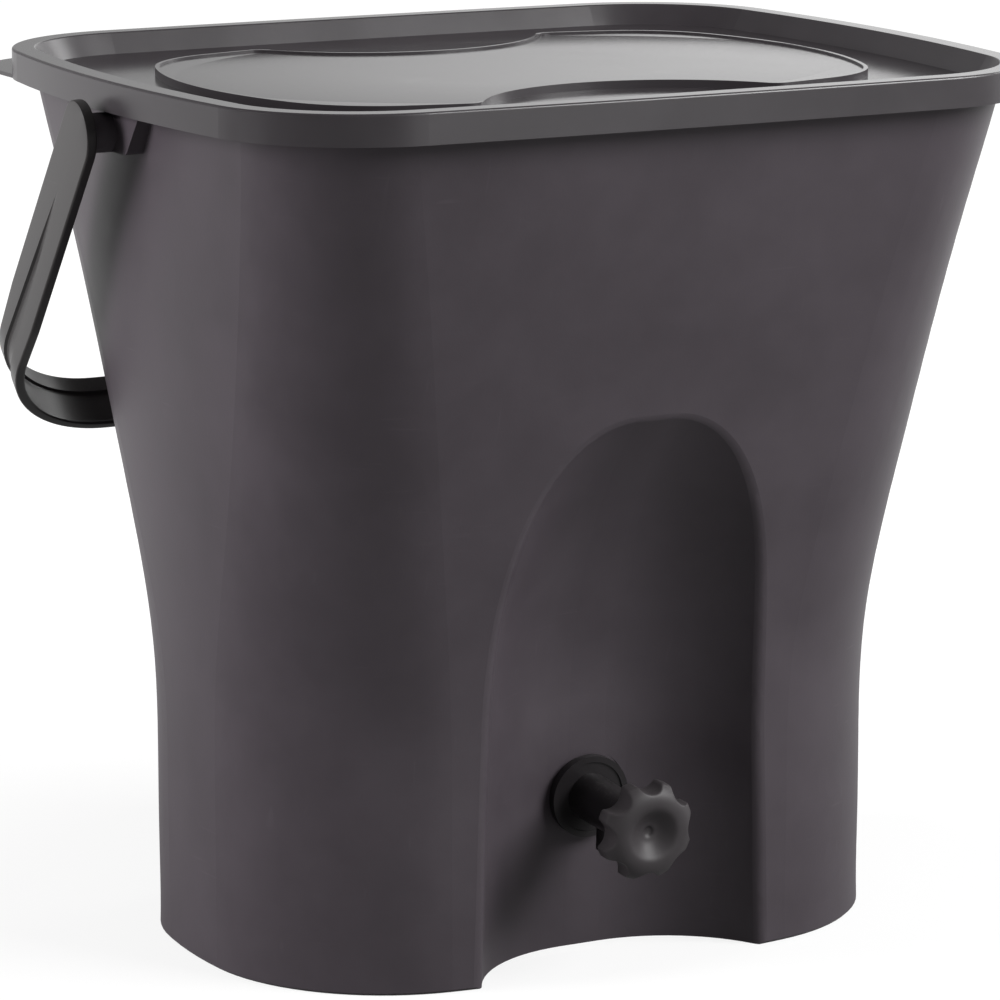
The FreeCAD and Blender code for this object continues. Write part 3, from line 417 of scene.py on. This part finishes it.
def bail_stations():
    """Places along the strap's inner face, right eye to left, as (x, reach, outward x, outward reach)."""
    slope, out_x, out_reach = math.tan(BAIL_LEAN), math.cos(BAIL_LEAN), math.sin(BAIL_LEAN)
    tip = [-ARM_HALF * math.cos(math.radians(angle)) for angle in TIP_ANGLES]
    arm = [(BAIL_SIDE - slope * reach, reach, out_x, out_reach)
           for reach in tip + spread(0.0, BEND_AT, ARM_STEPS)]
    middle_x = BAIL_SIDE - slope * BEND_AT - BAIL_CORNER * out_x
    middle_reach = BEND_AT - BAIL_CORNER * out_reach
    corner = []
    for angle in spread(BAIL_LEAN, math.pi / 2, CORNER_STEPS)[1:]:
        away, up = math.cos(angle), math.sin(angle)
        corner.append((middle_x + BAIL_CORNER * away, middle_reach + BAIL_CORNER * up, away, up))
    right = arm + corner
    left = [(-x, reach, -away, up) for x, reach, away, up in reversed(right)]
    bar = [(x, BAIL_REACH, 0.0, 1.0) for x in spread(middle_x, -middle_x, BAR_STEPS)[1:-1]]
    return right + bar + left


def rounded_corner(across, off, edge, start):
    """Points of a quarter turn of the strap's edge about (across, off), from the start angle on."""
    return [(across + edge * math.sin(angle), off + edge * math.cos(angle))
            for angle in spread(start, start + math.pi / 2, EDGE_STEPS)]


def arm_groove(reach, narrow):
    """The groove in the strap's outer face, which starts as a slit and widens towards the crosspiece."""
    share = ramp(reach, ARM_GROOVE_START, BEND_AT)
    half = (ARM_GROOVE_SLIT + (ARM_GROOVE_HALF - ARM_GROOVE_SLIT) * share) * narrow
    depth = GROOVE_DEPTH * ramp(reach, ARM_GROOVE_START, ARM_GROOVE_SUNK)
    run = min(1.0, half / FULL_WALL_HALF)
    rim, foot, floor = (half + off * run for off in ARM_GROOVE_WALL)
    side = [(rim + GROOVE_SHOULDER * narrow, BAIL_THICKNESS), (rim, BAIL_THICKNESS),
            (foot, BAIL_THICKNESS - depth * FOOT_SHARE), (floor, BAIL_THICKNESS - depth)]
    return [(-across, off) for across, off in side] + side[::-1]


def grip_groove(reach, narrow):
    """The groove in the strap's inner face, along the crosspiece and round its corners."""
    depth = GROOVE_DEPTH * ramp(reach, BEND_AT - GRIP_GROOVE_RUN, BEND_AT)
    back, front = (side * narrow for side in GRIP_GROOVE_SIDES)
    rim, foot, floor = (off * narrow for off in GRIP_GROOVE_WALL)
    return [(front + rim, 0.0), (front + foot, depth * FOOT_SHARE), (front + floor, depth),
            (back - floor, depth), (back - foot, depth * FOOT_SHARE), (back - rim, 0.0),
            (back - rim - GROOVE_SHOULDER * narrow, 0.0)]


def bail_section(reach):
    """The strap's outline at a reach from the pivot as (across, off the inner face)."""
    half = ARM_HALF + (GRIP_HALF - ARM_HALF) * ramp(reach, TAPER_START, BEND_AT)
    narrow = 1.0
    if reach < 0:
        half = math.sqrt(ARM_HALF ** 2 - reach ** 2)
        narrow = half / ARM_HALF
    edge = BAIL_EDGE * narrow
    low, high = edge, BAIL_THICKNESS - edge
    return (arm_groove(reach, narrow)
            + rounded_corner(half - edge, high, edge, 0)
            + rounded_corner(half - edge, low, edge, math.pi / 2)
            + grip_groove(reach, narrow)
            + rounded_corner(edge - half, low, edge, math.pi)
            + rounded_corner(edge - half, high, edge, math.pi * 1.5))


def hung(x, across, reach):
    """A point of the upright bail in its place at rest, hung back behind the bin."""
    turn, rise = math.cos(BAIL_HANG), math.sin(BAIL_HANG)
    return x, across * turn + reach * rise, PIVOT_LEVEL - across * rise + reach * turn


def bail_stud(side):
    """The stud at one end of the bail, from its bevelled tip to the middle of the strap."""
    profile = ((STUD_END, STUD_RADIUS - STUD_BEVEL), (STUD_END + STUD_BEVEL, STUD_RADIUS),
               (BAIL_SIDE + BAIL_THICKNESS / 2, STUD_RADIUS))
    around = spread(0, math.tau, STUD_STEPS)[:-1]
    return skinned([[hung(side * x, radius * math.cos(angle), radius * math.sin(angle))
                     for angle in around] for x, radius in profile])


def swept_bail():
    rings = []
    for x, reach, out_x, out_reach in bail_stations():
        rings.append([hung(x + off * out_x, across, reach + off * out_reach)
                      for across, off in bail_section(reach)])
    points, faces = joined(skinned(rings), bail_stud(1), bail_stud(-1))
    piece = smooth_piece("bail_strap", points, faces, BLACK_BAIL, crease=BAIL_CREASE)
    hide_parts("carry_handle")
    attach(piece, "bail")


# Knob of the tap: eight scallops in a domed disc with a funnel in its face
TAP_FOOT = Vector((0.0, -57.0, 57.5))
TAP_LEAN = math.radians(3.5)
TAP_AXIS = Vector((0.0, -math.cos(TAP_LEAN), -math.sin(TAP_LEAN)))
TAP_UP = Vector((0.0, -math.sin(TAP_LEAN), math.cos(TAP_LEAN)))
KNOB_BACK = 40.5
KNOB_RADIUS, KNOB_CREST = 18.1, 10.8
KNOB_BROW, KNOB_DEPTH = 6.0, 10.5
DOME_SQUARE, DOME_FOURTH = 0.7, 0.3
KNOB_HEEL, KNOB_WALL_START, KNOB_LIP, KNOB_LIP_ROOM = 1.3, 2.0, 0.7, 1.6
HEEL_STEPS, WALL_STEPS, LIP_STEPS, DOME_STEPS = 5, 4, 6, 9
SCALLOPS, SCALLOP_RADIUS, SCALLOP_MIDDLE = 8, 6.0, 20.6
SCALLOP_STEPS, LOBE_EASE = 28, 0.9
KNOB_SOCKET = ((0.0, 4.1), (3.6, 4.1), (3.6, 0.0), (6.6, 0.0), (7.0, 0.4), (7.0, 4.5), (12.1, 4.5),
               (12.1, 0.4), (12.5, 0.0))
KNOB_FUNNEL = ((10.2, 10.48), (9.6, 10.36), (9.0, 10.1), (8.4, 9.75), (7.6, 9.2), (6.6, 8.5), (5.6, 7.8),
               (4.6, 7.2), (3.8, 6.8), (3.0, 6.55), (2.3, 6.4), (1.9, 6.15), (1.6, 5.85), (1.2, 5.6),
               (0.0, 5.5))


def on_tap(radius, angle, along):
    """A point about the axis of the tap, along it from the outside of the niche wall."""
    sideways = Vector((math.cos(angle), 0, 0)) + TAP_UP * math.sin(angle)
    return TAP_FOOT + TAP_AXIS * along + sideways * radius


def knob_edge(angle):
    """Radius of the scalloped edge, with the tips of the lobes eased off."""
    step = math.tau / SCALLOPS
    off = abs((angle + step / 2) % step - step / 2)
    aside = SCALLOP_MIDDLE * math.sin(off)
    if aside >= SCALLOP_RADIUS:
        return KNOB_RADIUS
    scallop = SCALLOP_MIDDLE * math.cos(off) - math.sqrt(SCALLOP_RADIUS ** 2 - aside ** 2)
    ease = max(LOBE_EASE - abs(scallop - KNOB_RADIUS), 0.0)
    return min(scallop, KNOB_RADIUS) - ease ** 2 / (4 * LOBE_EASE)


def eased(first, corner, last, steps):
    """Points of a curve from first to last that rounds off the corner between them."""
    return [tuple((1 - t) ** 2 * a + 2 * t * (1 - t) * b + t ** 2 * c
                  for a, b, c in zip(first, corner, last)) for t in spread(0.0, 1.0, steps)]


def knob_dome(radius):
    """Height of the knob's face at a radius outside its crest."""
    out = ramp(radius, KNOB_CREST, KNOB_RADIUS)
    fall = out ** 2 * DOME_SQUARE + out ** 4 * DOME_FOURTH
    return KNOB_BROW + (KNOB_DEPTH - KNOB_BROW) * (1 - fall)


def knob_profile(edge):
    """Outline of the knob as (radius, height) from the socket round the edge to the hole in the funnel."""
    brow, inside = knob_dome(edge), edge - KNOB_LIP
    wall_end = brow - KNOB_LIP * KNOB_LIP_ROOM
    outline = [*KNOB_SOCKET, *eased((edge - KNOB_HEEL, 0.0), (edge, 0.0), (edge, KNOB_HEEL), HEEL_STEPS)]
    outline += [(edge, height) for height in spread(KNOB_WALL_START, wall_end, WALL_STEPS)]
    outline += eased((edge, brow - KNOB_LIP), (edge, brow), (inside, knob_dome(inside)), LIP_STEPS)
    outline += [(radius, knob_dome(radius)) for radius in spread(inside, KNOB_CREST, DOME_STEPS)[1:]]
    return [*outline, *KNOB_FUNNEL]


def turned_knob():
    around = spread(0.0, math.tau, SCALLOPS * SCALLOP_STEPS)[:-1]
    profiles = [knob_profile(knob_edge(angle)) for angle in around]
    rings = []
    for row in zip(*profiles):
        rings.append([on_tap(radius, angle, KNOB_BACK + height)
                      for (radius, height), angle in zip(row, around)])
    piece = smooth_piece("scalloped_knob", *skinned(rings, capped=False), BLACK_KNOB)
    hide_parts("tap_knob")
    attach(piece, "knob")


# Thread on the tail of the tap, past the lock nut
THREAD_START, THREAD_END, THREAD_PITCH, THREAD_RIDGE = -15.6, -12.4, 1.2, 0.35
THREAD_STEPS, RIDGE_STEPS = 64, 10
TAIL_RADIUS = 9.0


def screw_thread_tree():
    """A round ridge that climbs about Z in a screw line."""
    tree = bpy.data.node_groups.new("screw_thread", "GeometryNodeTree")
    for name in ("Turns", "Radius", "Rise", "Ridge"):
        tree.interface.new_socket(name, in_out="INPUT", socket_type="NodeSocketFloat")
    tree.interface.new_socket("Material", in_out="INPUT", socket_type="NodeSocketMaterial")
    tree.interface.new_socket("Geometry", in_out="OUTPUT", socket_type="NodeSocketGeometry")
    entry = tree.nodes.new("NodeGroupInput").outputs
    line = feed(tree, add_node(tree, "GeometryNodeCurveSpiral"), Resolution=THREAD_STEPS,
                Rotations=entry["Turns"], Start_Radius=entry["Radius"], End_Radius=entry["Radius"],
                Height=entry["Rise"])
    profile = feed(tree, add_node(tree, "GeometryNodeCurvePrimitiveCircle"), Resolution=RIDGE_STEPS,
                   Radius=entry["Ridge"])
    ridge = feed(tree, add_node(tree, "GeometryNodeCurveToMesh"), Curve=line.outputs["Curve"],
                 Profile_Curve=profile.outputs["Curve"], Fill_Caps=True)
    real = feed(tree, add_node(tree, "GeometryNodeRealizeInstances"), Geometry=ridge.outputs["Mesh"])
    done = feed(tree, add_node(tree, "GeometryNodeSetMaterial"), Geometry=real.outputs["Geometry"],
                Material=entry["Material"])
    leave = tree.nodes.new("NodeGroupOutput").inputs
    tree.links.new(done.outputs["Geometry"], leave["Geometry"])
    return tree


def grown(name, tree, values, place):
    """A plain mesh grown by a node tree with the given inputs and moved to its place."""
    piece = link(bpy.data.objects.new(name, bpy.data.meshes.new(f"{name}_seed")))
    modifier = piece.modifiers.new("grow", "NODES")
    modifier.node_group = tree
    for item in tree.interface.items_tree:
        if item.in_out == "INPUT":
            modifier[item.identifier] = values[item.name]
    evaluated = piece.evaluated_get(bpy.context.evaluated_depsgraph_get())
    mesh = bpy.data.meshes.new_from_object(evaluated)
    piece.modifiers.clear()
    mesh.transform(place)
    finish_mesh(mesh)
    piece.data = mesh
    return piece


def tail_thread():
    rise = THREAD_END - THREAD_START
    foot = (TAP_FOOT + TAP_AXIS * THREAD_START) * MM
    place = Matrix.Translation(foot) @ Matrix.Rotation(math.pi / 2 + TAP_LEAN, 4, "X")
    values = {"Turns": rise / THREAD_PITCH, "Radius": TAIL_RADIUS * MM, "Rise": rise * MM,
              "Ridge": THREAD_RIDGE * MM, "Material": BLACK_TAP}
    piece = grown("tail_thread", screw_thread_tree(), values, place)
    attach(piece, "bin")


swept_bail()
turned_knob()
tail_thread()


# Floor, light and camera. Fours are a range and the levels at its two ends.
FLOOR_REACH = 6.0
FLOOR_PAINT, FLOOR_PAINT_SHOWN = (0.16, 0.16, 0.16, 1), (0.8, 0.8, 0.8, 1)
FLOOR_GLOW, FLOOR_GLOW_SHARE = (0.2, 0.6, 1.0, 1.22), 0.8
FLOOR_IN_GLOSS = (-0.1, 0.7, 0.2, 1.0)
WHITE = (1, 1, 1, 1)
SOFT_COLOUR, SOFT_LEVEL = (1, 0.99, 0.98, 1), 0.33
BACKDROP_ASIDE = (-0.09, 0.07, 0.45, 1.08)
BACKDROP_BEHIND = (-0.1, 0.5, 0.35, 1.0)
BACKDROP_RISE = (0.26, 0.52, 1.0, 0.3)
LAMP_TARGET = Vector((0, 0, 0.16))
# Azimuth, elevation, distance, width, height, power, and whether a gloss shows the lamp
SOFTBOXES = {
    "key_softbox": (42.0, 31.0, 1.7, 1.0, 0.8, 43.0, True),
    "left_softbox": (-104.0, 16.0, 1.7, 0.6, 1.2, 42.0, False),
    "low_softbox": (18.0, 2.0, 1.7, 0.5, 0.28, 1.2, True),
    "back_softbox": (105.0, 24.0, 1.9, 0.6, 0.8, 8.0, True),
}


def from_photo_side(tree, vector):
    """A vector's shares to the right of and away from the side that the photograph was taken from."""
    turned = feed(tree, add_node(tree, "ShaderNodeVectorRotate", rotation_type="Z_AXIS"),
                  Vector=vector, Angle=-CAMERA_AZIMUTH)
    shares = split(tree, turned.outputs["Vector"])
    return shares["X"], shares["Y"]


def seen_directly(tree):
    """1 for the rays that show the background itself, to the camera or through glass."""
    path = add_node(tree, "ShaderNodeLightPath").outputs
    return math_node(tree, "MAXIMUM", path["Is Camera Ray"], path["Is Transmission Ray"])


def seen_in_gloss(tree):
    return add_node(tree, "ShaderNodeLightPath").outputs["Is Glossy Ray"]


def pale_floor():
    """A floor that is white to the camera, keeps a faint shadow and sends little light up the object."""
    mesh = bpy.data.meshes.new("floor")
    corners = [(x * FLOOR_REACH, y * FLOOR_REACH, 0) for x, y in ((-1, -1), (1, -1), (1, 1), (-1, 1))]
    mesh.from_pydata(corners, [], [(0, 1, 2, 3)])
    floor = link(bpy.data.objects.new("floor", mesh))
    material = bpy.data.materials.new("pale_floor")
    material.use_nodes = True
    tree = material.node_tree
    tree.nodes.clear()
    place = add_node(tree, "ShaderNodeTexCoord").outputs["Object"]
    shown = add_node(tree, "ShaderNodeLightPath").outputs["Is Camera Ray"]
    paint = feed(tree, add_node(tree, "ShaderNodeBsdfDiffuse"),
                 Color=mixed(tree, shown, FLOOR_PAINT, FLOOR_PAINT_SHOWN))
    away = feed(tree, add_node(tree, "ShaderNodeVectorMath", operation="LENGTH"), Vector=place)
    glow = feed(tree, add_node(tree, "ShaderNodeEmission"), Color=WHITE,
                Strength=ranged(tree, away.outputs["Value"], *FLOOR_GLOW))
    _, behind = from_photo_side(tree, place)
    in_gloss = product(tree, seen_in_gloss(tree), ranged(tree, behind, *FLOOR_IN_GLOSS))
    seen = math_node(tree, "MAXIMUM", seen_directly(tree), in_gloss)
    out = add_node(tree, "ShaderNodeOutputMaterial")
    feed(tree, out, Surface=blended(tree, product(tree, seen, FLOOR_GLOW_SHARE), paint, glow))
    mesh.materials.append(material)


def studio_world():
    """Soft light all round and a white backdrop, which a gloss shows brightest behind the object."""
    world = bpy.data.worlds.new("studio")
    bpy.context.scene.world = world
    world.use_nodes = True
    tree = world.node_tree
    tree.nodes.clear()
    way = add_node(tree, "ShaderNodeTexCoord").outputs["Generated"]
    aside, behind = from_photo_side(tree, way)
    dimmed = product(tree, ranged(tree, aside, *BACKDROP_ASIDE), ranged(tree, behind, *BACKDROP_BEHIND),
                     ranged(tree, split(tree, way)["Z"], *BACKDROP_RISE))
    direct = seen_directly(tree)
    soft = feed(tree, add_node(tree, "ShaderNodeBackground"), Color=SOFT_COLOUR, Strength=SOFT_LEVEL)
    white = feed(tree, add_node(tree, "ShaderNodeBackground"), Color=WHITE,
                 Strength=math_node(tree, "MAXIMUM", direct, dimmed))
    seen = math_node(tree, "MAXIMUM", direct, seen_in_gloss(tree))
    out = add_node(tree, "ShaderNodeOutputWorld")
    feed(tree, out, Surface=blended(tree, seen, soft, white))


def softbox(name, azimuth, elevation, distance, width, height, power, in_gloss):
    lamp = bpy.data.lights.new(name, "AREA")
    lamp.shape = "RECTANGLE"
    lamp.size = width
    lamp.size_y = height
    lamp.energy = power
    box = link(bpy.data.objects.new(name, lamp))
    box.visible_glossy = in_gloss
    way = direction(math.radians(azimuth), math.radians(elevation))
    aim(box, LAMP_TARGET + way * distance, LAMP_TARGET)


def photo_camera():
    data = bpy.data.cameras.new("photo_camera")
    data.sensor_width = CAMERA_SENSOR
    data.lens = CAMERA_LENS
    data.shift_x, data.shift_y = CAMERA_SHIFT
    data.clip_end = CAMERA_CLIP
    camera = link(bpy.data.objects.new("photo_camera", data))
    way = direction(CAMERA_AZIMUTH, CAMERA_ELEVATION)
    aim(camera, CAMERA_TARGET + way * CAMERA_DISTANCE, CAMERA_TARGET)
    bpy.context.scene.camera = camera


pale_floor()
studio_world()
for lamp_name, lamp_values in SOFTBOXES.items():
    softbox(lamp_name, *lamp_values)
photo_camera()

scene = bpy.context.scene
scene.view_settings.view_transform = "Standard"
